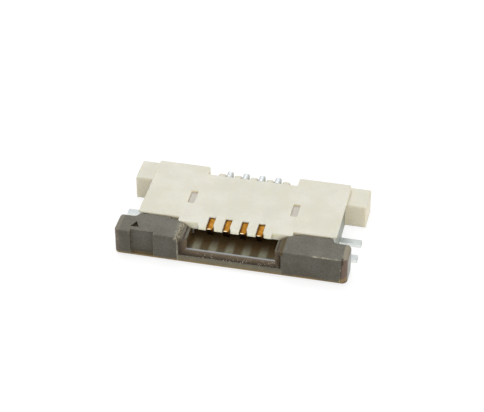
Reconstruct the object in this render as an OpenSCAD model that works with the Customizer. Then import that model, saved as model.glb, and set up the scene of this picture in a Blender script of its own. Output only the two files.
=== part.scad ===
// Right-angle surface-mount connector for flat flexible cable, with a slide lock.
//
// X runs along the row of contacts. The cable enters from -Y and the solder
// tails leave at +Y. Z = 0 is the face of the circuit board, and the origin
// lies on it, under the middle of the housing. All sizes are in millimetres,
// and the slider is drawn pushed in, which is its locked position.

/* [Contact row] */
// Number of contacts
contact_count = 4; // [2:1:8]
// Distance between neighbouring contacts
pitch = 1.0; // [0.9:0.05:1.25]
// Thickness of the strip the contacts are stamped from
contact_t = 0.38; // [0.3:0.01:0.38]
// Side clearance between a contact and its slot
contact_gap = 0.02; // [0.02:0.005:0.05]
// Height of a contact's upper beam, seen from the side
beam_h = 0.26; // [0.2:0.01:0.3]
// Clearance over the upper beam inside the housing
beam_lift = 0.02; // [0.02:0.01:0.06]
// Drop of the beam over its free end
beam_drop = 0.08; // [0:0.01:0.1]
// Distance from the beam's tip to the nose that touches the cable
nose_back = 0.36; // [0.25:0.01:0.45]
// Height of the lower, anchoring beam
anchor_h = 0.24; // [0.18:0.01:0.26]
// Distance from the housing's front face to the end of the anchoring beam
anchor_back = 0.45; // [0.3:0.01:0.8]
// Setback of the beam's tip from the front of the teeth
tip_setback = 0.12; // [0.1:0.01:0.3]
// Width of the spine that joins the two beams, along Y
spine_d = 1.5; // [1.2:0.05:1.7]
// Distance from the back of the spine to the housing's rear face
spine_setback = 0.21; // [0.15:0.01:0.3]
// Rise of the spine's crown above the upper beam
crown_rise = 0.09; // [0.05:0.01:0.1]
// Width of the beam's coined tip
tip_w = 0.26; // [0.2:0.01:0.3]
// Length over which the beam narrows to its tip
coin_l = 0.2; // [0.1:0.01:0.3]
// Length of the solder foot behind the spine
foot_len = 0.9; // [0.6:0.05:1.2]
// Thickness of the solder foot
foot_t = 0.24; // [0.18:0.01:0.3]

/* [Flat cable] */
// Thickness of the stiffened cable end
cable_t = 0.3; // [0.2:0.01:0.32]
// Side clearance between the cable and its guide walls
cable_gap = 0.14; // [0.08:0.01:0.2]
// How far the contacts press into the cable when it is locked
cable_squeeze = 0.04; // [0.02:0.01:0.08]

/* [Housing] */
// Depth of the housing from its front face to its rear face
housing_d = 5.34; // [5.2:0.02:6]
// Height of the housing above the board
housing_h = 1.87; // [1.85:0.01:2.1]
// Distance from the last contact to the end of the housing
housing_side = 4.5; // [4.45:0.05:5]
// Thickness of the housing's top wall
top_wall = 0.47; // [0.44:0.01:0.5]
// Thickness of the roof over the contacts
roof_t = 0.09; // [0.08:0.01:0.14]
// Thickness of the housing's floor
floor_t = 0.36; // [0.34:0.01:0.4]
// Radius of the housing's corners, seen from above
housing_corner_r = 0.2; // [0.1:0.01:0.3]
// Radius along the housing's top edges
housing_edge_r = 0.09; // [0.04:0.01:0.12]
// Depth of the cable pocket behind the housing's front face
cable_pocket_d = 3.43; // [3:0.05:3.5]

/* [Tongue and teeth] */
// Distance from the last contact to the side of the tongue
tongue_side = 1.95; // [1.9:0.01:2.1]
// Reach of the tongue in front of the housing
tongue_reach = 0.39; // [0.3:0.01:0.45]
// Reach of the teeth in front of the tongue
tooth_reach = 0.36; // [0.25:0.01:0.45]
// Thickness of a tooth at its tip
tooth_tip_t = 0.2; // [0.15:0.01:0.3]
// Distance from the last contact to the outer side of the last tooth
tooth_side = 0.75; // [0.6:0.01:0.9]
// Width of the slanted corner on the left of a tooth
tooth_corner_w = 0.13; // [0.05:0.01:0.16]
// Length of the slanted corner on the left of a tooth
tooth_corner_l = 0.33; // [0.1:0.01:0.35]
// Size of the blunt corner on the right of a tooth
tooth_blunt = 0.05; // [0.02:0.01:0.1]
// Depth of the open slots behind the housing's front face
slot_back = 0.35; // [0.2:0.01:0.5]

/* [Rear of the housing] */
// Depth of the rear recess for the solder tails
tail_recess_d = 0.83; // [0.7:0.01:0.9]
// Distance from the last contact to the side of the rear recess
tail_recess_side = 1.3; // [1.1:0.01:1.5]
// Reach of the comb ribs into the rear recess
rib_reach = 0.58; // [0.4:0.01:0.65]
// Height of the comb ribs
rib_h = 1.62; // [1.4:0.01:1.7]
// Width of a comb rib
rib_w = 0.5; // [0.4:0.01:0.5]

/* [Ears and windows] */
// Width of the ears on both ends of the housing
ear_w = 1.2; // [0.9:0.01:1.21]
// Depth of the ears
ear_d = 1.84; // [1.5:0.01:2.1]
// Reach of the ears behind the housing's rear face
ear_reach = 0.22; // [0:0.01:0.3]
// Height of the ears
ear_h = 1.53; // [1.3:0.01:1.7]
// Radius of the ears' corners
ear_r = 0.12; // [0.05:0.01:0.2]
// Width of the shallow windows in the top
window_w = 0.43; // [0.3:0.01:0.5]
// Length of the shallow windows
window_l = 1.25; // [1:0.05:1.4]
// Depth of the shallow windows
window_depth = 0.15; // [0.1:0.01:0.3]
// Distance from the cable guide to a window
window_inset = 0.29; // [0.2:0.01:0.35]
// Distance from the housing's front face to a window
window_front = 1.44; // [1.2:0.02:1.6]

/* [Slider] */
// Distance from the housing's front face to the slider's front face, locked
slider_reach = 1.97; // [1.9:0.01:2.2]
// Length that each end of the slider stands out past the housing
slider_overhang = 1.0; // [0.8:0.02:1.2]
// Step from the housing's top down to the slider's top
slider_drop = 0.06; // [0.03:0.01:0.1]
// Clearance between the slider and the board
slider_lift = 0.08; // [0.06:0.01:0.14]
// Gap between the locked slider and the housing's front face
lock_gap = 0.1; // [0.06:0.01:0.16]
// Depth of the slider's outer ends
slider_end_d = 1.5; // [1.3:0.01:1.6]
// Travel of the slider from locked to released
slider_travel = 1.0; // [0.8:0.05:1.05]
// Running clearance round the sliding parts
slide_gap = 0.06; // [0.04:0.005:0.08]
// Distance that the slider's outer ends reach inside the housing's side faces
slider_end_inset = 0.12; // [0.05:0.01:0.3]
// Radius of the inner corners behind the slider's outer ends
slider_fillet_r = 0.28; // [0.1:0.01:0.3]
// Radius along the slider's edges
slider_edge_r = 0.1; // [0.05:0.01:0.14]
// Radius at the slider's top outer ends
slider_end_r = 0.26; // [0.15:0.01:0.35]
// Radius of the slider's front corners, seen from above
slider_corner_r = 0.4; // [0.25:0.01:0.5]

/* [Slider mouth] */
// Extra width of the mouth at the slider's front face, on each side
mouth_flare = 0.48; // [0.3:0.01:0.6]
// Depth of the slanted lead-in faces of the mouth
lead_in_d = 0.4; // [0.25:0.01:0.5]
// Height of the bevel along the mouth's top edges
mouth_bevel_h = 0.31; // [0.2:0.01:0.35]
// Height of the upright lip below the mouth
sill_lip_h = 0.42; // [0.35:0.01:0.48]
// Gap between the mouth's side walls and the tongue
tongue_clear = 0.16; // [0.08:0.01:0.25]
// Width of the notch beside the tongue
notch_w = 0.4; // [0.3:0.01:0.45]
// Depth of the notch beside the tongue
notch_d = 0.18; // [0.1:0.01:0.25]

/* [Pressure plate and latch arms] */
// Thickness of the plate that presses the cable up
plate_t = 0.38; // [0.34:0.01:0.4]
// Side clearance of the plate in the housing
plate_gap = 0.08; // [0.05:0.01:0.1]
// Reach of the plate behind the housing's front face
plate_reach = 2.95; // [2.6:0.05:3]
// Length of the thinned edge of the plate
plate_taper = 0.9; // [0.5:0.05:1.1]
// Thickness of the plate at its thin edge
plate_edge_t = 0.18; // [0.12:0.01:0.25]
// Distance from the tongue to a latch arm
arm_inset = 0.5; // [0.46:0.01:0.55]
// Thickness of a latch arm
arm_w = 0.62; // [0.5:0.01:0.66]
// Reach of a latch arm behind the housing's front face
arm_reach = 2.95; // [2.8:0.05:3.2]
// Length of the hook at the end of a latch arm
hook_l = 0.6; // [0.4:0.01:0.7]
// Length of the hook's slanted nose
hook_nose = 0.3; // [0.15:0.01:0.35]
// Height of the hook above the arm's side
hook_h = 0.24; // [0.15:0.01:0.28]
// Room for the arm to bend inwards when it is fitted
arm_flex = 0.22; // [0.15:0.01:0.25]
// Clearance between hook and catch at the end of the travel
stop_gap = 0.05; // [0.03:0.01:0.1]

/* [Marks on the slider] */
// Width of the moulded triangle that marks contact 1
mark_w = 0.56; // [0.4:0.02:0.7]
// Length of the triangle
mark_l = 0.55; // [0.4:0.01:0.6]
// Depth of the triangle
mark_depth = 0.2; // [0.05:0.01:0.25]
// Distance from the slider's end to the middle of the triangle
mark_inset = 1.17; // [1.1:0.01:1.3]
// Distance from the slider's front face to the triangle
mark_front = 0.5; // [0.35:0.01:0.6]
// Distance from the slider's end to the gate recess in its front face
gate_inset = 1.0; // [0.9:0.01:1.2]
// Width of the gate recess
gate_w = 1.4; // [1:0.05:1.5]
// Depth of the gate recess
gate_depth = 0.22; // [0.1:0.01:0.25]
// Height of the lip left below the gate recess
gate_lip = 0.12; // [0.08:0.01:0.15]

/* [Fitting nails] */
// Thickness of the strip the nails are bent from
nail_t = 0.2; // [0.15:0.01:0.2]
// Setback of the nail from the housing's side face
nail_inset = 0.03; // [0:0.01:0.06]
// Length of a nail along the housing
nail_l = 3.28; // [3.2:0.02:3.5]
// Length of the nail's inner leg
nail_leg = 1.6; // [1.2:0.05:1.9]
// Thickness of the wall that the nail grips
nail_wall = 0.2; // [0.15:0.01:0.22]
// Height of the nail's lower edge above the board
nail_lift = 0.3; // [0.26:0.01:0.35]
// Inner radius of the nail's bends
nail_bend_r = 0.06; // [0.03:0.01:0.08]
// Distance between the outer ends of the solder tabs and the nail's face
tab_reach = 1.25; // [1:0.05:1.4]
// Width of a solder tab
tab_w = 0.47; // [0.4:0.01:0.55]
// Distance from the housing's front face to the front tab
tab_front = 0.26; // [0.24:0.01:0.4]
// Distance between the two tabs' front edges
tab_spacing = 1.46; // [1.2:0.01:1.6]
// Thickness of the housing's lip over the nail
nail_lip_t = 0.14; // [0.12:0.01:0.4]

/* [Hidden] */
contact_nodes = [for (i = [1:contact_count]) str("contact_", i)];

// Overlap that makes cuts break through and joined solids fuse
eps = 0.02;
// Length of a cut that runs out of the part
far = 20;
// Segments in a rounded corner
corner_n = 5;

// Row of contacts and widths across it
half_row = (contact_count - 1) / 2 * pitch;
cable_half = (contact_count + 1) / 2 * pitch;
guide_half = cable_half + cable_gap;
tooth_half = half_row + tooth_side;
tongue_half = half_row + tongue_side;
housing_half = half_row + housing_side;
slot_w = contact_t + 2 * contact_gap;

// Housing, along Y
housing_front = -housing_d / 2;
housing_back = housing_d / 2;
tongue_front = housing_front - tongue_reach;
tooth_front = tongue_front - tooth_reach;
pocket_back = housing_front + cable_pocket_d;
recess_front = housing_back - tail_recess_d;
ear_back = housing_back + ear_reach;
ear_front = ear_back - ear_d;

// Housing, along Z
tongue_z = housing_h - top_wall;
roof_z = housing_h - roof_t;
seat_z = housing_h - nail_lip_t;

// Contact, side view
beam_top = roof_z - beam_lift;
tip_y = tooth_front + tip_setback;
nose_y = tip_y + nose_back;
spine_back = housing_back - spine_setback;
spine_front = spine_back - spine_d;
crown_z = beam_top + crown_rise;
crown_r = contact_t * 0.45;
anchor_sink = 0.02;
anchor_z = floor_t - anchor_sink - anchor_h;
anchor_front = housing_front + anchor_back;
contact_end_gap = 0.05;
heel_gap = 0.15;
contact_round_r = 0.05;
fork_round_r = 0.1;

// Slider
slider_top = housing_h - slider_drop;
slider_front = housing_front - slider_reach;
slider_half = housing_half + slider_overhang;
block_back = housing_front - lock_gap;
end_back = slider_front + slider_end_d;
end_inner = housing_half - slider_end_inset;
slider_rear_r = 0.18;
slider_base_r = 0.04;
mouth_half = guide_half + mouth_flare;
mouth_wall_back = tongue_front - tongue_clear;
sill_z = slider_lift + sill_lip_h;

// Pressure plate
plate_z = floor_t + slide_gap;
plate_top = plate_z + plate_t;
plate_half = guide_half - plate_gap;
plate_back = housing_front + plate_reach;
nose_z = plate_top + cable_t - cable_squeeze;

// Latch arm and the pocket it runs in
arm_in = tongue_half + arm_inset;
arm_out = arm_in + arm_w;
arm_top = tongue_z - slide_gap;
arm_back = housing_front + arm_reach;
hook_front = arm_back - hook_l;
catch_back = hook_front - slider_travel - stop_gap;

// Fitting nail
nail_face = housing_half - nail_inset;
nail_in = nail_face - nail_t;
wall_in = nail_in - nail_wall;
leg_in = wall_in - nail_t;
bend_y = housing_front + nail_t + nail_wall / 2;
nail_seat_gap = 0.03;

// Colours
cream = [0.88, 0.86, 0.79];
charcoal = [0.29, 0.28, 0.26];
gold = [0.83, 0.62, 0.27];
tin = [0.76, 0.77, 0.76];

// Points of an arc round c, from angle a0 to angle a1
function arc(c, r, a0, a1) =
    [for (i = [0:corner_n]) c + r * [cos(a0 + (a1 - a0) * i / corner_n), sin(a0 + (a1 - a0) * i / corner_n)]];

// Rectangle from [u0, v0] to [u1, v1] with a radius at each corner,
// in the order low left, low right, high right, high left
module rounded_box(u0, v0, u1, v1, r) {
    polygon(concat(
        arc([u0 + r[0], v0 + r[0]], r[0], 180, 270),
        arc([u1 - r[1], v0 + r[1]], r[1], 270, 360),
        arc([u1 - r[2], v1 - r[2]], r[2], 0, 90),
        arc([u0 + r[3], v1 - r[3]], r[3], 90, 180)
    ));
}

// Rounds the outer corners of an outline by outer_r and its inner ones by inner_r
module softened(outer_r, inner_r) {
    offset(r = -inner_r, $fn = 24) offset(delta = inner_r)
        offset(r = outer_r, $fn = 24) offset(delta = -outer_r)
            children();
}

// Extrudes an outline drawn in Y and Z along X, centred on X = 0
module across(width) {
    rotate([90, 0, 90]) linear_extrude(width, center = true) children();
}

// Extrudes an outline drawn in X and Z from y0 to y1
module lengthwise(y0, y1) {
    translate([0, y1, 0]) rotate([90, 0, 0]) linear_extrude(y1 - y0) children();
}

// Extrudes an outline drawn in X and Y from z0 to z1
module upright(z0, z1) {
    translate([0, 0, z0]) linear_extrude(z1 - z0) children();
}

module both_sides() {
    children();
    mirror([1, 0, 0]) children();
}

module at_each_contact() {
    for (i = [0:contact_count - 1])
        translate([i * pitch - half_row, 0, 0]) children();
}

// ---- Housing ----

module housing_plan() {
    softened(housing_corner_r, housing_edge_r) difference() {
        translate([-housing_half, housing_front]) square([2 * housing_half, housing_d]);
        tail_recess_plan();
    }
}

module tail_recess_plan() {
    recess_half = half_row + tail_recess_side;
    translate([-recess_half, recess_front]) square([2 * recess_half, far]);
}

module housing_block() {
    r = housing_edge_r;
    intersection() {
        upright(0, housing_h) housing_plan();
        lengthwise(-far, far)
            rounded_box(-housing_half, 0, housing_half, housing_h, [eps, eps, r, r]);
        across(far)
            rounded_box(housing_front, 0, housing_back, housing_h, [eps, eps, r, r]);
    }
}

// Outline of one tooth between two slots: slanted front corner on the left,
// blunt one on the right
module tooth_plan(x0, x1) {
    polygon([
        [x0, housing_front + eps],
        [x0, tooth_front + tooth_corner_l],
        [x0 + tooth_corner_w, tooth_front],
        [x1 - tooth_blunt, tooth_front],
        [x1, tooth_front + tooth_blunt],
        [x1, housing_front + eps]
    ]);
}

module teeth_plan() {
    half_slot = slot_w / 2;
    for (i = [0:contact_count]) {
        x0 = i == 0 ? -tooth_half : (i - 1) * pitch - half_row + half_slot;
        x1 = i == contact_count ? tooth_half : i * pitch - half_row - half_slot;
        tooth_plan(x0, x1);
    }
}

// Tongue over the cable mouth, ending in teeth between the contacts
module tongue() {
    r = housing_edge_r;
    root = housing_front + slot_back;
    intersection() {
        upright(tongue_z, housing_h)
            rounded_box(-tongue_half, tongue_front, tongue_half, root, [r, r, eps, eps]);
        across(far)
            rounded_box(tongue_front, tongue_z, root, housing_h, [eps, eps, eps, r]);
    }
    intersection() {
        upright(tongue_z, housing_h) teeth_plan();
        across(far) polygon(concat(
            [[root, tongue_z], [root, housing_h]],
            arc([tooth_front + r, housing_h - r], r, 90, 180),
            [[tooth_front, housing_h - tooth_tip_t], [tongue_front + eps, tongue_z]]
        ));
    }
}

// Ear at the right end of the housing
module ear() {
    x0 = housing_half - housing_corner_r;
    x1 = housing_half + ear_w;
    intersection() {
        upright(0, ear_h)
            rounded_box(x0, ear_front, x1, ear_back, [eps, ear_r, ear_r, ear_r]);
        lengthwise(-far, far)
            rounded_box(x0, 0, x1, ear_h, [eps, eps, ear_r, eps]);
        across(far)
            rounded_box(ear_front, 0, ear_back, ear_h, [eps, eps, ear_r, ear_r]);
    }
}

// Comb of ribs that keeps the solder tails apart
module comb() {
    rib_r = rib_w / 2 - housing_edge_r;
    for (i = [0:contact_count])
        translate([i * pitch - half_row - pitch / 2, 0, 0])
            lengthwise(recess_front - eps, recess_front + rib_reach)
                rounded_box(-rib_w / 2, 0, rib_w / 2, rib_h, [eps, eps, rib_r, rib_r]);
}

// Room for one contact: open slot in the teeth, passage along the roof,
// groove in the floor and passage through the rear wall
module contact_slot() {
    across(slot_w) {
        translate([-far, tongue_z - eps]) square([far + housing_front + slot_back, far]);
        translate([-far, tongue_z - eps]) square([2 * far, roof_z - tongue_z + eps]);
        translate([anchor_front - contact_end_gap, anchor_z]) square([far, floor_t]);
        translate([pocket_back - eps, anchor_z]) square([far, roof_z - anchor_z]);
    }
}

module cable_pocket() {
    upright(floor_t, tongue_z)
        translate([-guide_half, -far]) square([2 * guide_half, far + pocket_back]);
}

// Pocket for the right latch arm, with the catch left standing beside it
module arm_pocket() {
    upright(floor_t, tongue_z) {
        translate([arm_in - arm_flex, -far])
            square([arm_flex + arm_w + slide_gap, far + arm_back + lock_gap]);
        translate([arm_in, catch_back])
            square([arm_w + hook_h + slide_gap, arm_back + lock_gap - catch_back]);
    }
}

module window() {
    r = housing_edge_r;
    x0 = guide_half + window_inset;
    y0 = housing_front + window_front;
    upright(housing_h - window_depth, housing_h + eps)
        rounded_box(x0, y0, x0 + window_w, y0 + window_l, [r, r, r, r]);
}

// Room for the right nail: a recess along the side, a slot for the inner leg
// and the cut at the front that the bend passes through
module nail_seat() {
    upright(-eps, seat_z) {
        translate([nail_in, -far]) square([far, far + ear_front]);
        translate([leg_in - nail_seat_gap, -far])
            square([nail_t + nail_seat_gap, far + housing_front + nail_leg + nail_seat_gap]);
        translate([leg_in - nail_seat_gap, -far]) square([far, far + bend_y]);
    }
}

module housing() {
    color(cream) difference() {
        union() {
            housing_block();
            tongue();
            both_sides() ear();
            comb();
        }
        cable_pocket();
        at_each_contact() contact_slot();
        both_sides() {
            arm_pocket();
            window();
            nail_seat();
        }
    }
}

// ---- Contacts ----

// Side view of a contact: upper beam with its nose, spine with a holding barb,
// anchoring beam and solder foot
module contact_outline() {
    foot_back = spine_back + foot_len;
    heel = recess_front + heel_gap;
    crown_front = recess_front + contact_end_gap;
    nose_half = 0.07;
    nose_slope = 0.42;
    barb_back = (spine_front + recess_front) / 2;
    barb_l = 0.3;
    polygon([
        [tip_y, beam_top - beam_drop],
        [tip_y, beam_top - beam_drop - beam_h / 2],
        [nose_y - nose_half, nose_z],
        [nose_y + nose_half, nose_z],
        [nose_y + nose_slope, beam_top - beam_h],
        [spine_front, beam_top - beam_h],
        [spine_front, anchor_z + anchor_h],
        [anchor_front, anchor_z + anchor_h],
        [anchor_front, anchor_z],
        [heel, anchor_z],
        [heel, 0],
        [foot_back, 0],
        [foot_back, foot_t],
        [spine_back, foot_t],
        [spine_back, crown_z],
        [crown_front, crown_z],
        [crown_front, beam_top],
        [barb_back, beam_top],
        [barb_back, roof_z],
        [barb_back - barb_l, beam_top],
        [housing_front + slot_back, beam_top]
    ]);
}

// Plan of a contact, narrower at the coined tip
module contact_plan() {
    taper_back = tip_y + coin_l;
    polygon([
        [-tip_w / 2, tip_y - eps],
        [tip_w / 2, tip_y - eps],
        [contact_t / 2, taper_back],
        [contact_t / 2, far],
        [-contact_t / 2, far],
        [-contact_t / 2, taper_back]
    ]);
}

module contact() {
    color(gold) intersection() {
        across(slot_w) softened(contact_round_r, fork_round_r) contact_outline();
        upright(0, housing_h) contact_plan();
        lengthwise(-far, far)
            rounded_box(-contact_t / 2, 0, contact_t / 2, crown_z, [eps, eps, crown_r, crown_r]);
    }
}

// ---- Slider ----

// Plan of the slider's bar: deeper between its outer ends, with round front corners
module bar_plan() {
    r = slider_corner_r;
    softened(slider_rear_r, slider_fillet_r) polygon(concat(
        arc([-slider_half + r, slider_front + r], r, 180, 270),
        arc([slider_half - r, slider_front + r], r, 270, 360),
        [
            [slider_half, end_back],
            [end_inner, end_back],
            [end_inner, block_back],
            [-end_inner, block_back],
            [-end_inner, end_back],
            [-slider_half, end_back]
        ]
    ));
}

module bar() {
    intersection() {
        upright(slider_lift, slider_top) bar_plan();
        lengthwise(-far, far)
            rounded_box(-slider_half, slider_lift, slider_half, slider_top,
                [slider_base_r, slider_base_r, slider_end_r, slider_end_r]);
        across(far)
            rounded_box(slider_front, slider_lift, block_back, slider_top,
                [slider_base_r, slider_base_r, slider_base_r, slider_edge_r]);
    }
}

// Mouth that the cable enters through, with lead-in faces on three sides
module mouth() {
    inner_y = slider_front + lead_in_d;
    intersection() {
        upright(0, far) polygon([
            [-mouth_half, slider_front - eps],
            [mouth_half, slider_front - eps],
            [guide_half, inner_y],
            [guide_half, far],
            [-guide_half, far],
            [-guide_half, inner_y]
        ]);
        across(far) polygon([
            [slider_front - eps, sill_z],
            [inner_y, plate_top],
            [far, plate_top],
            [far, far],
            [slider_front - eps, far]
        ]);
    }
    lengthwise(slider_front - eps, mouth_wall_back) polygon([
        [-guide_half, slider_top - mouth_bevel_h],
        [guide_half, slider_top - mouth_bevel_h],
        [mouth_half, slider_top],
        [mouth_half, far],
        [-mouth_half, far],
        [-mouth_half, slider_top]
    ]);
}

// Room above the cable guide for the housing's tongue, and the notches beside it
module tongue_room() {
    side = tongue_half + slide_gap;
    notch_front = block_back - notch_d;
    upright(tongue_z - slide_gap, far) polygon([
        [-mouth_half, mouth_wall_back],
        [mouth_half, mouth_wall_back],
        [side, notch_front],
        [side + notch_w, notch_front],
        [side + notch_w, far],
        [-side - notch_w, far],
        [-side - notch_w, notch_front],
        [-side, notch_front]
    ]);
}

// Plate under the cable, thinned towards its rear edge
module pressure_plate() {
    taper_front = plate_back - plate_taper;
    y0 = slider_front + lead_in_d;
    across(2 * plate_half) polygon([
        [y0, plate_z],
        [plate_back, plate_z],
        [plate_back, plate_z + plate_edge_t],
        [taper_front, plate_top],
        [y0, plate_top]
    ]);
}

// Right latch arm, with a hook at its end
module latch_arm() {
    hook_out = arm_out + hook_h;
    upright(plate_z, arm_top) polygon([
        [arm_in, block_back - eps],
        [arm_out, block_back - eps],
        [arm_out, hook_front],
        [hook_out, hook_front],
        [hook_out, arm_back - hook_nose],
        [arm_out, arm_back],
        [arm_in, arm_back]
    ]);
}

// Triangle that points at contact 1
module contact_mark() {
    x = -slider_half + mark_inset;
    y = slider_front + mark_front;
    upright(slider_top - mark_depth, far)
        polygon([[x - mark_w / 2, y], [x + mark_w / 2, y], [x, y + mark_l]]);
}

module gate_recess() {
    x = -slider_half + gate_inset;
    translate([x, slider_front - far, slider_lift + gate_lip])
        cube([gate_w, far + gate_depth, far]);
}

module slider() {
    color(charcoal) {
        difference() {
            bar();
            mouth();
            tongue_room();
            contact_mark();
            gate_recess();
        }
        pressure_plate();
        both_sides() latch_arm();
    }
}

// ---- Fitting nails ----

// Plan of the right nail: outer leg, bend round the wall and inner leg
module nail_plan() {
    mid = (nail_in + wall_in) / 2;
    inner_r = nail_wall / 2;
    translate([nail_in, bend_y]) square([nail_t, housing_front + nail_l - bend_y]);
    translate([leg_in, bend_y]) square([nail_t, housing_front + nail_leg - bend_y]);
    polygon(concat(
        arc([mid, bend_y], inner_r + nail_t, 180, 360),
        arc([mid, bend_y], inner_r, 360, 180)
    ));
}

// Section through a solder tab, bent outwards from the nail's outer leg
module tab_section() {
    bend_z = nail_t + nail_bend_r;
    bend_x = nail_face + nail_bend_r;
    translate([nail_in, bend_z]) square([nail_t, nail_lift - bend_z + eps]);
    polygon(concat(
        arc([bend_x, bend_z], nail_bend_r + nail_t, 180, 270),
        arc([bend_x, bend_z], nail_bend_r, 270, 180)
    ));
    translate([bend_x, 0]) square([tab_reach - nail_bend_r, nail_t]);
}

module nail() {
    first = housing_front + tab_front;
    color(tin) {
        upright(nail_lift, seat_z) nail_plan();
        for (y = [first, first + tab_spacing])
            lengthwise(y, y + tab_w) tab_section();
    }
}

module nail_left() {
    mirror([1, 0, 0]) nail();
}

module nail_right() {
    nail();
}

housing();
slider();
nail_left();
nail_right();
for (i = [1:contact_count])
    translate([(i - 1) * pitch - half_row, 0, 0]) contact();
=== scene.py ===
"""Looks of a flat-cable connector: moulded nylon housing, dark slide lock, plated contacts and nails."""

import math

import bpy
from mathutils import Matrix, Vector

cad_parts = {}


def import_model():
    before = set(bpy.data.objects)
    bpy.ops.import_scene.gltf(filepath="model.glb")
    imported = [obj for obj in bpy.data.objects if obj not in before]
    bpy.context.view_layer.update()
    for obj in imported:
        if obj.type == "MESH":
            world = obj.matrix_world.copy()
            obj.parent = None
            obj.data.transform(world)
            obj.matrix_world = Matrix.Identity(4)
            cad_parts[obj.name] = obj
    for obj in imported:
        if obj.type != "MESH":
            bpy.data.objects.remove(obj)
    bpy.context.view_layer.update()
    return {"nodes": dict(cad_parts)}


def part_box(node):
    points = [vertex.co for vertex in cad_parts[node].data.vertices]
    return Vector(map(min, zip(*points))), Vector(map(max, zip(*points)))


MM = 0.001
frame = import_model()


# ---- Node helpers ----

class Shader:
    """A material and short calls that add and link its nodes. Places are in millimetres."""

    def __init__(self, name):
        self.material = bpy.data.materials.new(name)
        self.material.use_nodes = True
        self.tree = self.material.node_tree
        self.tree.nodes.clear()
        self.output = self.tree.nodes.new("ShaderNodeOutputMaterial")
        self.coords = self.tree.nodes.new("ShaderNodeTexCoord").outputs["Object"]
        self.normal = self.tree.nodes.new("ShaderNodeNewGeometry").outputs["Normal"]

    def put(self, socket, value):
        """Links a socket to an output, or sets its number or colour."""
        if isinstance(value, bpy.types.NodeSocket):
            self.tree.links.new(value, socket)
        elif value is not None:
            socket.default_value = value

    def node(self, kind, inputs=None, **settings):
        made = self.tree.nodes.new(kind)
        for key, value in settings.items():
            setattr(made, key, value)
        for key, value in (inputs or {}).items():
            self.put(made.inputs[key], value)
        return made

    # Numbers and masks, which run from 0 to 1

    def math(self, operation, *values):
        made = self.node("ShaderNodeMath", operation=operation)
        for socket, value in zip(made.inputs, values):
            self.put(socket, value)
        return made.outputs[0]

    def chain(self, operation, *values):
        total = values[0]
        for value in values[1:]:
            total = self.math(operation, total, value)
        return total

    def times(self, *masks):
        return self.chain("MULTIPLY", *masks)

    def either(self, *masks):
        return self.chain("MAXIMUM", *masks)

    def flip(self, mask):
        return self.math("SUBTRACT", 1.0, mask)

    def band(self, value, low, high, to_low=0.0, to_high=1.0):
        """value mapped from low..high to to_low..to_high, clamped and smooth."""
        return self.node("ShaderNodeMapRange", {
            "Value": value, "From Min": low, "From Max": high, "To Min": to_low, "To Max": to_high,
        }, interpolation_type="SMOOTHSTEP").outputs["Result"]

    def blend(self, fac, a, b):
        """The number a where fac is 0 and b where it is 1."""
        return self.node("ShaderNodeMapRange", {"Value": fac, "To Min": a, "To Max": b}).outputs["Result"]

    def noise(self, size_mm, detail=3.0, rough=0.55, stretch=None):
        """Noise whose blobs are about size_mm wide."""
        coords = self.coords
        if stretch:
            coords = self.node("ShaderNodeMapping", {"Vector": coords, "Scale": stretch}).outputs[0]
        return self.node("ShaderNodeTexNoise", {
            "Vector": coords, "Scale": 1 / (size_mm * MM), "Detail": detail, "Roughness": rough,
        }).outputs["Fac"]

    # Masks of places and directions

    def axis(self, vector, letter):
        return self.node("ShaderNodeSeparateXYZ", {"Vector": vector}).outputs[letter]

    def after(self, letter, low_mm, high_mm):
        """Mask that rises from 0 at low_mm to 1 at high_mm along an axis of the object."""
        return self.band(self.axis(self.coords, letter), low_mm * MM, high_mm * MM)

    def until(self, letter, low_mm, high_mm):
        """Mask that falls from 1 at low_mm to 0 at high_mm along an axis of the object."""
        return self.flip(self.after(letter, low_mm, high_mm))

    def outside(self, half_mm, soft_mm):
        """Mask of what lies further than half_mm from the middle along X."""
        away = self.math("ABSOLUTE", self.axis(self.coords, "X"))
        return self.band(away, (half_mm - soft_mm) * MM, (half_mm + soft_mm) * MM)

    def inside(self, half_mm, soft_mm):
        return self.flip(self.outside(half_mm, soft_mm))

    def strip(self, letter, middle_mm, half_mm, core=0.5):
        """Mask of a thin strip across an axis of the object, full over the core share of its width."""
        away = self.math("ABSOLUTE", self.math("SUBTRACT", self.axis(self.coords, letter), middle_mm * MM))
        return self.flip(self.band(away, core * half_mm * MM, half_mm * MM))

    def facing(self, letter, low, high):
        """Mask of faces whose normal has between low (0) and high (1) of an axis."""
        return self.band(self.axis(self.normal, letter), low, high)

    def forwards(self, low, high):
        """Mask of faces that look along -Y, towards the cable."""
        return self.flip(self.facing("Y", low, high))

    def sideways(self, low, high):
        """Mask of faces that look either way along X."""
        return self.band(self.math("ABSOLUTE", self.axis(self.normal, "X")), low, high)

    # Masks and normals that follow edges and corners

    def soft_normal(self, radius_mm):
        """Normal rounded near edges, as a moulded or stamped edge is."""
        return self.node("ShaderNodeBevel", {"Radius": radius_mm * MM}, samples=6).outputs[0]

    def edges(self, radius_mm, low, high):
        """Mask that is 1 along edges and 0 on flat faces."""
        rounded = self.soft_normal(radius_mm)
        dot = self.node("ShaderNodeVectorMath", {0: rounded, 1: self.normal}, operation="DOT_PRODUCT")
        return self.band(self.math("SUBTRACT", 1.0, dot.outputs["Value"]), low, high)

    def nook(self, distance_mm, low=0.3, high=1.0):
        """0 on open surfaces, rising to 1 in corners and narrow gaps."""
        sky = self.node("ShaderNodeAmbientOcclusion", {"Distance": distance_mm * MM}, samples=8).outputs["AO"]
        return self.band(self.flip(sky), low, high)

    def bump(self, height, strength, depth_mm, normal=None):
        return self.node("ShaderNodeBump", {
            "Height": height, "Strength": strength, "Distance": depth_mm * MM, "Normal": normal,
        }).outputs["Normal"]

    # Colour and surface

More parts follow.
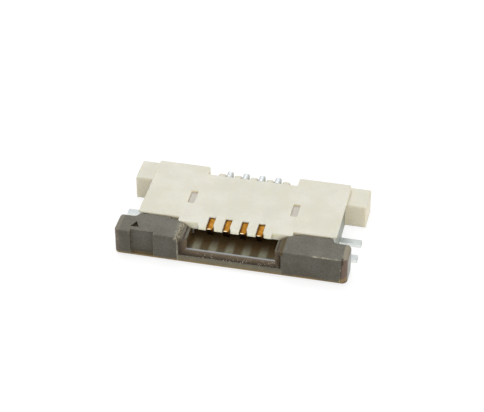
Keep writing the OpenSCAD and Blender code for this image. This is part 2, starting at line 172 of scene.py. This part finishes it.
    def mix(self, fac, a, b):
        made = self.node("ShaderNodeMix", data_type="RGBA")
        self.put(made.inputs["Factor"], fac)
        self.put(made.inputs[6], a)
        self.put(made.inputs[7], b)
        return made.outputs[2]

    def principled(self, **inputs):
        named = {key.replace("_", " "): value for key, value in inputs.items()}
        shader = self.node("ShaderNodeBsdfPrincipled", named)
        self.put(self.output.inputs["Surface"], shader.outputs[0])
        return self.material


def rgb(r, g, b):
    """A colour given as seen on screen, 0 to 255, as linear light."""
    def channel(c):
        c /= 255
        return c / 12.92 if c <= 0.04045 else ((c + 0.055) / 1.055) ** 2.4
    return (channel(r), channel(g), channel(b), 1.0)


# ---- Places that the finishes follow, in millimetres ----

PITCH = 1.0
TEETH_BACK = -2.6
TONGUE_LIT_HALF = 2.7
WINDOW_FLOOR = 1.72
MARK_FLOOR = 1.61
MOUTH_HALF = 3.12
BEVEL_FOOT = 1.5
SILL_LIP = 0.5
SILL_TOP = 0.8
SILL_EDGE_Y = -4.24
SLIDER_FRONT = -4.64
SLIDER_BASE = 0.08
SLIDER_TOP = 1.81
SLIDER_END = 7.0
CORNER_START = 6.6
BLOCK_BACK = -2.77
ARM_START = 3.55
ARM_RELIEF_W = 0.36
REFLECTION_SHIFT = -0.14
REFLECTION_HALF = 2.45
TIN_LENGTH = 1.5  # of a contact, behind and including its crown


# ---- Housing ----

CREAM_TOP = rgb(216, 213, 197), rgb(223, 221, 208)
CREAM_SIDE_PAINTED_LIGHT = rgb(236, 228, 204), rgb(243, 236, 216)
CREAM_LIT = rgb(250, 247, 222)
CREAM_GRAIN = rgb(206, 202, 180)
CREAM_NOOK_SHADE = rgb(190, 170, 120)
CREAM_WINDOW = rgb(193, 188, 181)
CREAM_RIM = rgb(208, 200, 172)
CREAM_SPECK = rgb(160, 148, 118)


def cream_nylon():
    """Translucent cream moulding: painted light makes side faces paler and warmer than tops and the tongue's
    front paler still; painted shade in corners; greyer window floors, worn rims, fine specks.
    """
    s = Shader("cream_nylon")
    cloud = s.band(s.noise(1.6), 0.35, 0.68)
    # Painted light: the tongue's forward faces paler, side faces paler and warmer than tops.
    lit = s.times(s.forwards(-0.9, -0.4), s.until("Y", TEETH_BACK - 0.1, TEETH_BACK),
                  s.inside(TONGUE_LIT_HALF, 0.3))
    side = s.mix(lit, s.mix(cloud, *CREAM_SIDE_PAINTED_LIGHT), CREAM_LIT)
    tone = s.mix(s.facing("Z", 0.25, 0.8), side, s.mix(cloud, *CREAM_TOP))
    grain = s.band(s.noise(0.14, 4.0), 0.35, 0.7)
    tone = s.mix(s.times(grain, 0.2), tone, CREAM_GRAIN)
    # Painted shade: corners and narrow gaps darkened to tan.
    tone = s.mix(s.times(s.nook(0.25), 0.35), tone, CREAM_NOOK_SHADE)
    window = s.times(s.after("Z", WINDOW_FLOOR - 0.03, WINDOW_FLOOR - 0.02),
                     s.until("Z", WINDOW_FLOOR + 0.02, WINDOW_FLOOR + 0.03))
    tone = s.mix(s.times(window, s.facing("Z", 0.6, 0.9), 0.8), tone, CREAM_WINDOW)
    rim = s.times(s.edges(0.05, 0.02, 0.25), s.band(s.noise(0.5), 0.3, 0.6, 0.05, 0.35))
    tone = s.mix(rim, tone, CREAM_RIM)
    speck = s.band(s.noise(0.09, 1.0), 0.74, 0.79)
    tone = s.mix(s.times(speck, 0.4), tone, CREAM_SPECK)
    rough = s.band(s.noise(0.6), 0.3, 0.7, 0.44, 0.58)
    normal = s.bump(s.noise(0.07, 5.0), 0.3, 0.005, s.soft_normal(0.035))
    return s.principled(Base_Color=tone, Roughness=rough, Normal=normal,
                        Subsurface_Weight=0.4, Subsurface_Scale=0.25 * MM, Subsurface_Radius=(1.0, 0.85, 0.55))


# ---- Slider ----

DARK_FRONT = rgb(92, 87, 77), rgb(101, 98, 88)
DARK_TOP = rgb(104, 100, 90), rgb(114, 112, 101)
DARK_GRAIN = rgb(70, 68, 58)
DARK_GLINT = rgb(134, 134, 122)
DARK_MARK_AND_SHADOW = rgb(62, 46, 38)
DARK_SEAM_AND_NOTCH_SHADE = rgb(58, 48, 36)
SILL_FACE_TAN = rgb(122, 115, 92)
BASE_TAN = rgb(150, 124, 78)
BEVEL_SHADE_BROWN = rgb(77, 62, 26)
CORNER_BROWN = rgb(118, 96, 82), rgb(151, 143, 124)
CORNER_TAN = rgb(156, 130, 84)
END_SHEEN_GREY = rgb(138, 137, 128), rgb(170, 172, 164)
END_SCUFF = rgb(176, 170, 152)
WORN_EDGE = rgb(142, 128, 102)
MOUTH_BROWN = rgb(82, 72, 52), rgb(92, 73, 46)
RAMP_BROWN = rgb(44, 32, 12), rgb(108, 94, 76)
REFLECTION_GREY = rgb(124, 122, 104)
SILL_GLEAM = rgb(158, 162, 164)
PALE_MARK = rgb(196, 188, 166)


def moulded_tone(s, up):
    """Cloudy, grainy dark moulding with glints, with faces that look up painted paler as painted light from
    above.
    """
    cloud = s.band(s.noise(1.1, 4.0), 0.35, 0.66)
    # Painted light: tops paler than fronts.
    tone = s.mix(up, s.mix(cloud, *DARK_FRONT), s.mix(cloud, *DARK_TOP))
    grain = s.band(s.noise(0.13, 4.0, 0.6), 0.34, 0.68)
    tone = s.mix(s.times(grain, 0.45), tone, DARK_GRAIN)
    glint = s.band(s.noise(0.06, 2.0), 0.63, 0.72)
    return s.mix(s.times(glint, 0.5), tone, DARK_GLINT)


def tan_and_brown(s, tone, up, left):
    """Tan sill face and lower rim; brown bevels that are painted shade, deeper on the left; brown corners
    whose tops are painted paler as lit from above. left is a mask of the left half.
    """
    sill_face = s.times(s.inside(MOUTH_HALF, 0.03), s.until("Z", SILL_LIP - 0.04, SILL_LIP))
    tone = s.mix(s.times(sill_face, s.band(s.noise(0.4, 4.0), 0.3, 0.6, 0.6, 1.0)), tone, SILL_FACE_TAN)
    base = s.until("Z", SLIDER_BASE + 0.05, SLIDER_BASE + 0.2)
    tone = s.mix(s.times(base, s.band(s.noise(0.5, 4.0), 0.3, 0.6, 0.5, 1.0)), tone, BASE_TAN)
    # Painted shade on the funnel bevels beside the mouth, deeper on the left.
    bevel = s.times(s.outside(MOUTH_HALF - 0.2, 0.2), s.inside(MOUTH_HALF + 0.06, 0.06),
                    s.after("Z", BEVEL_FOOT - 0.1, BEVEL_FOOT + 0.1))
    tone = s.mix(s.times(bevel, s.blend(left, 1.0, 0.6)), tone, BEVEL_SHADE_BROWN)
    # Brown corners, their tops painted paler than their fronts as painted light.
    corner = s.times(s.outside(CORNER_START + 0.06, 0.05), s.blend(left, 0.8, 0.35))
    return s.mix(corner, tone, s.mix(up, *CORNER_BROWN))


def mark_and_relief_shadows(s, up):
    """The sunk triangle's floor, darker, and painted shadow on the rear top edge where the arms start."""
    triangle = s.times(up, s.until("Z", MARK_FLOOR + 0.02, MARK_FLOOR + 0.04),
                       s.after("Z", MARK_FLOOR - 0.04, MARK_FLOOR - 0.02))
    # Painted shadow: dark patches on the rear top edge beside the arms, where a gap to the housing would be.
    rear = s.times(s.after("Y", BLOCK_BACK - 0.12, BLOCK_BACK - 0.06), s.after("Z", 1.5, 1.6))
    relief_shadows = s.times(rear, s.outside(ARM_START + 0.02, 0.03), s.inside(ARM_START + ARM_RELIEF_W, 0.05))
    return s.either(triangle, relief_shadows)


def end_marks(s, tone):
    """Seam line and painted notch shade beside the right end, tan lower corner, a mottled painted sheen on the
    end faces, scuffed left end.
    """
    front = s.until("Y", SLIDER_FRONT + 0.1, SLIDER_FRONT + 0.3)
    seam = s.times(s.strip("X", CORNER_START + 0.04, 0.05), front, 0.5)
    # The notch is painted shade of a groove at the top of the right corner; the seam is a dark line.
    notch = s.times(s.strip("X", CORNER_START + 0.1, 0.07), front, s.after("Z", 1.3, 1.5), 0.9)
    tone = s.mix(s.either(seam, notch), tone, DARK_SEAM_AND_NOTCH_SHADE)
    corner = s.times(s.after("X", CORNER_START - 0.2, CORNER_START + 0.2), s.until("Z", 0.3, 0.6),
                     s.band(s.noise(0.3, 4.0), 0.35, 0.6))
    tone = s.mix(corner, tone, CORNER_TAN)
    # Painted sheen: both end faces painted pale grey, mottled.
    end_sheen = s.times(s.sideways(0.9, 0.97), s.outside(SLIDER_END - 0.03, 0.02))
    tone = s.mix(end_sheen, tone, s.mix(s.band(s.noise(0.14, 5.0, 0.65), 0.34, 0.62), *END_SHEEN_GREY))
    scuff = s.times(s.until("X", -SLIDER_END + 0.1, -SLIDER_END + 0.45), s.after("Z", 0.7, 0.9),
                    s.until("Z", 1.4, 1.7), s.band(s.noise(0.14, 4.0, 0.7), 0.5, 0.62), 0.8)
    rim = s.times(s.until("X", -SLIDER_END + 0.1, -SLIDER_END + 0.5), s.edges(0.12, 0.01, 0.15), 0.7)
    return s.mix(s.either(scuff, rim), tone, END_SCUFF)


def mouth_mask(s):
    """Where the slider is polished: the inside of its mouth."""
    return s.times(s.inside(MOUTH_HALF - 0.02, 0.02),
                   s.after("Y", SLIDER_FRONT + 0.01, SLIDER_FRONT + 0.05),
                   s.after("Z", SILL_LIP - 0.02, SILL_LIP + 0.03),
                   s.until("Z", BEVEL_FOOT - 0.04, BEVEL_FOOT + 0.02))


def reflection_strips(s):
    """Painted reflection: soft paler strips on the mouth's floor, one between each pair of contacts and
    outside them.
    """
    across = s.math("SUBTRACT", s.axis(s.coords, "X"), REFLECTION_SHIFT * MM)
    turns = s.math("MULTIPLY", across, 2 * math.pi / (PITCH * MM))
    strips = s.band(s.math("COSINE", turns), -0.5, 0.75)
    fade = s.until("Y", SILL_EDGE_Y + 0.2, SILL_EDGE_Y + 1.5)
    return s.times(strips, s.inside(REFLECTION_HALF, 0.15), fade, s.band(s.noise(0.5), 0.25, 0.6, 0.7, 1.0))


def mouth_floor(s):
    """Brown floor with painted reflection strips behind the sill's edge, and the ramp in front of it."""
    plain = s.mix(s.after("Y", SILL_EDGE_Y + 0.05, SILL_EDGE_Y + 1.0), *MOUTH_BROWN)
    plate = s.mix(reflection_strips(s), plain, REFLECTION_GREY)
    ramp = s.mix(s.after("Y", SLIDER_FRONT, SILL_EDGE_Y), *RAMP_BROWN)
    return s.mix(s.after("Y", SILL_EDGE_Y - 0.01, SILL_EDGE_Y + 0.01), ramp, plate)


def burrs_and_highlights(s):
    """Pale rubbed lines on the mouth's left upright edge and the right top edge, and painted highlight specks
    along the right end's upright edge.
    """
    front = s.until("Y", SLIDER_FRONT + 0.03, SLIDER_FRONT + 0.08)
    broken = s.band(s.noise(0.3, 4.0), 0.42, 0.58, 0.15, 0.75)
    mouth = s.times(s.strip("X", -MOUTH_HALF - 0.02, 0.05), front, broken, 0.75)
    # Painted highlight specks along the right end's upright edge.
    end = s.times(s.strip("X", CORNER_START - 0.02, 0.05), front, s.band(s.noise(0.16, 4.0), 0.56, 0.62), 0.8)
    top = s.times(s.strip("Z", SLIDER_TOP - 0.03, 0.06), front, s.after("X", 4.6, 5.2),
                  s.until("X", 6.4, 6.6), broken)
    return s.either(mouth, end, top)


def pale_marks(s, up, left, polished):
    """Flecks on edges, grit on the ramp, scratches on the left bevel, burrs, and painted highlight specks."""
    fleck = s.times(s.band(s.noise(0.1, 2.0), 0.62, 0.68), s.edges(0.16, 0.01, 0.2))
    ramp = s.times(polished, up, s.until("Y", SILL_EDGE_Y, SILL_EDGE_Y + 0.05))
    grit = s.times(s.band(s.noise(0.07, 2.0), 0.62, 0.67), s.band(s.noise(0.7), 0.45, 0.55), ramp)
    bevel = s.times(s.outside(MOUTH_HALF - 0.15, 0.25), s.inside(MOUTH_HALF + 0.2, 0.2),
                    s.after("Z", BEVEL_FOOT - 0.1, BEVEL_FOOT + 0.2))
    patchy = s.band(s.noise(0.3, 3.0), 0.4, 0.55, 0.3, 1.0)
    scratch = s.band(s.noise(0.1, 5.0, 0.8, (1.0, 0.5, 0.5)), 0.44, 0.6)
    return s.either(fleck, grit, s.times(scratch, bevel, left, patchy, 0.85), burrs_and_highlights(s))


def dark_polyamide():
    """Dark moulding with worn edges, tan and brown places, and a polished mouth; painted light gives paler
    tops, shade on the bevels, a shadow beside the arms, a sheen on the ends and reflections on the mouth's
    floor.
    """
    s = Shader("dark_polyamide")
    up = s.facing("Z", 0.2, 0.85)
    left = s.until("X", -0.1, 0.1)
    tone = tan_and_brown(s, moulded_tone(s, up), up, left)
    tone = s.mix(mark_and_relief_shadows(s, up), tone, DARK_MARK_AND_SHADOW)
    tone = end_marks(s, tone)
    worn = s.times(s.edges(0.07, 0.03, 0.3), s.band(s.noise(0.35, 4.0), 0.36, 0.58, 0.35, 1.0))
    tone = s.mix(worn, tone, WORN_EDGE)
    polished = mouth_mask(s)
    tone = s.mix(polished, tone, mouth_floor(s))
    sill_edge = s.times(s.strip("Y", SILL_EDGE_Y, 0.08, core=0.25), polished,
                        s.until("Z", SILL_TOP + 0.02, SILL_TOP + 0.06), 0.85)
    tone = s.mix(sill_edge, tone, SILL_GLEAM)
    tone = s.mix(pale_marks(s, up, left, polished), tone, PALE_MARK)
    rough = s.math("SUBTRACT", s.band(s.noise(0.5), 0.3, 0.7, 0.4, 0.55), s.times(polished, 0.2))
    normal = s.bump(s.noise(0.1, 5.0), 0.35, 0.006, s.soft_normal(0.04))
    return s.principled(Base_Color=tone, Roughness=rough, Normal=normal, Specular_IOR_Level=0.25)


# ---- Contacts and nails ----

CONTACT_TIN = rgb(204, 208, 210), rgb(178, 180, 170)
NAIL_TIN = rgb(180, 185, 185), rgb(154, 158, 147)
TIN_FRONT = rgb(232, 236, 232)
TIN_CLOUD = rgb(250, 252, 255)
GOLD = rgb(130, 86, 22), rgb(158, 114, 44)
GOLD_DRAWN = rgb(98, 58, 14)
GOLD_SHADE = rgb(70, 38, 10)
GOLD_TIP_HIGHLIGHT = rgb(252, 238, 204)
FRONT_SHADE = rgb(34, 22, 12)
METAL_NOOK_SHADE = rgb(110, 74, 30)


def tin_tone(s, top, side):
    """Cloudy tin plate, with painted shade on faces that look along the length of the connector and painted
    light on faces that look forwards.
    """
    # Painted shade on side faces, painted light on faces that look forwards.
    sideways = s.sideways(0.4, 0.8)
    tone = s.mix(sideways, top, side)
    cloud = s.times(s.band(s.noise(0.35, 5.0, 0.65), 0.3, 0.7, 0.0, 0.14), s.blend(sideways, 1.0, 0.55))
    tone = s.mix(s.forwards(-0.9, -0.6), tone, TIN_FRONT)
    return s.mix(cloud, tone, TIN_CLOUD)


def gold_tone(s, tip):
    """Drawn gold, with painted shade to the left of each contact and a painted highlight at its tip."""
    gold = s.mix(s.band(s.noise(0.25, 3.0), 0.3, 0.7), *GOLD)
    half = PITCH / 2 * MM
    across = s.math("WRAP", s.math("SUBTRACT", s.axis(s.coords, "X"), half), half, -half)
    drawn = s.band(s.noise(0.09, 4.0, 0.7, (1.0, 0.2, 1.0)), 0.5, 0.66)
    gold = s.mix(s.times(drawn, 0.5), gold, GOLD_DRAWN)
    gold = s.mix(s.band(across, -0.15 * MM, -0.05 * MM, 0.75, 0.0), gold, GOLD_SHADE)
    # Painted highlight on the top of each contact's tip.
    tip_highlight = s.times(s.until("Y", tip + 0.02, tip + 0.07), s.band(across, 0.09 * MM, 0.03 * MM))
    return s.mix(s.times(tip_highlight, s.facing("Z", 0.2, 0.6)), gold, GOLD_TIP_HIGHLIGHT)


def plated(name, tin, rough, tip=None, gold_until=None):
    """Tin plate. Where a tip is given, it is gold from y = tip to y = gold_until, with painted shade on faces
    that look forwards.
    """
    s = Shader(name)
    tone = tin_tone(s, *tin)
    if tip is not None:
        tone = s.mix(s.after("Y", gold_until - 0.05, gold_until + 0.05), gold_tone(s, tip), tone)
        # Painted shade on faces that look forwards.
        tone = s.mix(s.forwards(-0.9, -0.5), tone, FRONT_SHADE)
    # Painted shade in corners and narrow gaps.
    tone = s.mix(s.times(s.nook(0.12), 0.6), tone, METAL_NOOK_SHADE)
    rough = s.band(s.noise(0.2, 4.0), 0.3, 0.7, rough - 0.06, rough + 0.06)
    drawn = s.noise(0.05, 4.0, stretch=(1.0, 0.12, 1.0))
    normal = s.bump(drawn, 0.2, 0.0015, s.soft_normal(0.03))
    return s.principled(Base_Color=tone, Metallic=1.0, Roughness=rough, Normal=normal)


def dress(material, slot, *nodes):
    """Gives CAD nodes a finished material. The slot argument is not used."""
    for name in nodes:
        obj = frame["nodes"][name]
        obj.data.materials.clear()
        obj.data.materials.append(material)


# ---- Stage ----

FLOOR_SIZE = 1.2  # metres
FLOOR_DROP = -0.02  # millimetres, which keeps the floor clear of the feet
WORLD_LIGHT = 0.55
WHITE = (1, 1, 1, 1)


def background_rays(tree):
    """1 for rays that see the background: from the camera, in gloss and through clear pieces."""
    path = tree.nodes.new("ShaderNodeLightPath")
    seen = path.outputs["Is Camera Ray"]
    for kind in ("Is Glossy Ray", "Is Transmission Ray"):
        either = tree.nodes.new("ShaderNodeMath")
        either.operation = "MAXIMUM"
        tree.links.new(seen, either.inputs[0])
        tree.links.new(path.outputs[kind], either.inputs[1])
        seen = either.outputs[0]
    return seen


def floor():
    """Plain pale floor, shown almost white but for the shadow that falls on it."""
    s = Shader("pale_floor")
    plain = s.node("ShaderNodeBsdfDiffuse", {"Color": (0.75, 0.75, 0.75, 1)})
    faint = s.node("ShaderNodeBsdfDiffuse", {"Color": (0.3, 0.3, 0.3, 1)})
    white = s.node("ShaderNodeEmission", {"Color": WHITE, "Strength": 0.76})
    shown = s.node("ShaderNodeAddShader")
    s.put(shown.inputs[0], faint.outputs[0])
    s.put(shown.inputs[1], white.outputs[0])
    both = s.node("ShaderNodeMixShader", {"Fac": background_rays(s.tree)})
    s.put(both.inputs[1], plain.outputs[0])
    s.put(both.inputs[2], shown.outputs[0])
    s.put(s.output.inputs["Surface"], both.outputs[0])
    bpy.ops.mesh.primitive_plane_add(size=FLOOR_SIZE)
    obj = bpy.context.object
    obj.name = "floor"
    obj.location.z = FLOOR_DROP * MM
    obj.data.materials.append(s.material)


def world():
    """White as a background and in reflections, softer as light."""
    made = bpy.data.worlds.new("studio")
    made.use_nodes = True
    tree = made.node_tree
    strength = tree.nodes.new("ShaderNodeMapRange")
    tree.links.new(background_rays(tree), strength.inputs["Value"])
    strength.inputs["To Min"].default_value = WORLD_LIGHT
    strength.inputs["To Max"].default_value = 1.0
    back = tree.nodes["Background"]
    back.inputs["Color"].default_value = WHITE
    tree.links.new(strength.outputs[0], back.inputs["Strength"])
    bpy.context.scene.world = made


def softbox(name, place_mm, size_mm, watts):
    """Square area light that faces the middle of the object."""
    data = bpy.data.lights.new(name, "AREA")
    data.size = size_mm * MM
    data.energy = watts
    obj = bpy.data.objects.new(name, data)
    bpy.context.scene.collection.objects.link(obj)
    obj.location = Vector(place_mm) * MM
    obj.rotation_mode = "QUATERNION"
    obj.rotation_quaternion = (-obj.location).to_track_quat("-Z", "Y")


# Camera: angles in degrees, places, lens and sensor in millimetres
AZIMUTH = 12.603
ELEVATION = 36.958
DISTANCE = 102.33
TARGET = Vector((0, -1.14, 0.9))
SHIFT_UP = -0.936
LENS = 126.74
SENSOR = 36
CLIP = 0.005, 5  # metres


def camera():
    """Looks at the target from the front right and above."""
    a, e = math.radians(AZIMUTH), math.radians(ELEVATION)
    back = Vector((math.sin(a) * math.cos(e), -math.cos(a) * math.cos(e), math.sin(e)))
    right = Vector((math.cos(a), math.sin(a), 0))
    up = back.cross(right)
    data = bpy.data.cameras.new("camera")
    data.lens = LENS
    data.sensor_width = SENSOR
    data.clip_start, data.clip_end = CLIP
    obj = bpy.data.objects.new("camera", data)
    bpy.context.scene.collection.objects.link(obj)
    obj.location = (TARGET + back * DISTANCE - up * SHIFT_UP) * MM
    turn = Matrix((right, up, back)).transposed()
    obj.rotation_mode = "QUATERNION"
    obj.rotation_quaternion = turn.to_quaternion()
    bpy.context.scene.camera = obj


camera()
world()
floor()
softbox("key", (-50, 75, 255), 200, 0.34)
softbox("side", (240, -20, 80), 140, 0.12)
softbox("front", (25, -240, 80), 160, 0.13)
bpy.context.scene.view_settings.view_transform = "Standard"

contacts = sorted(n for n in frame["nodes"] if n.startswith("contact_"))
contact_low, contact_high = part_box(contacts[0])
dress(cream_nylon(), "housing", "housing")
dress(dark_polyamide(), "slider", "slider")
dress(plated("gold_and_tin", CONTACT_TIN, 0.46, contact_low.y / MM, contact_high.y / MM - TIN_LENGTH),
      "contacts", *contacts)
dress(plated("tin", NAIL_TIN, 0.52), "nails", "nail_left", "nail_right")
